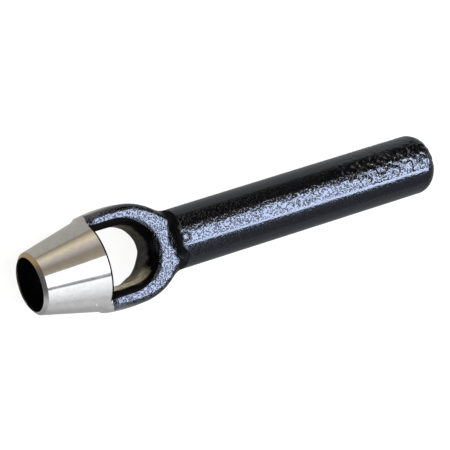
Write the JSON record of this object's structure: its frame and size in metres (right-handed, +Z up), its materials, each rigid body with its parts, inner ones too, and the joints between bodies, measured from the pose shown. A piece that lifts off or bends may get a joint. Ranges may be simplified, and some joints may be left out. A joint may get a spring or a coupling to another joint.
{
  "type": "arch punch",
  "caption": "One-piece hollow punch: a turned cone with a round cutting edge, an open arch behind it that lets the waste out, and a round shank with a rounded head to strike.",
  "frame": {"origin": "centre of the cutting edge, on the tool's axis", "axes": "+X along the tool from the cutting edge to the head; +Y across the two arms of the arch; +Z up through the window, as the tool lies on its side"},
  "size_m": [0.141, 0.03, 0.0272],
  "materials": {
    "black_enamel": "glossy black enamel over a rough forged skin, on the arch, shank and head",
    "bright_steel": "bright turned and polished tool steel, on the cone and its cutting bevel"
  },
  "bodies": {
    "root": {"arch_punch": "black_enamel"}
  },
  "joints": []
}
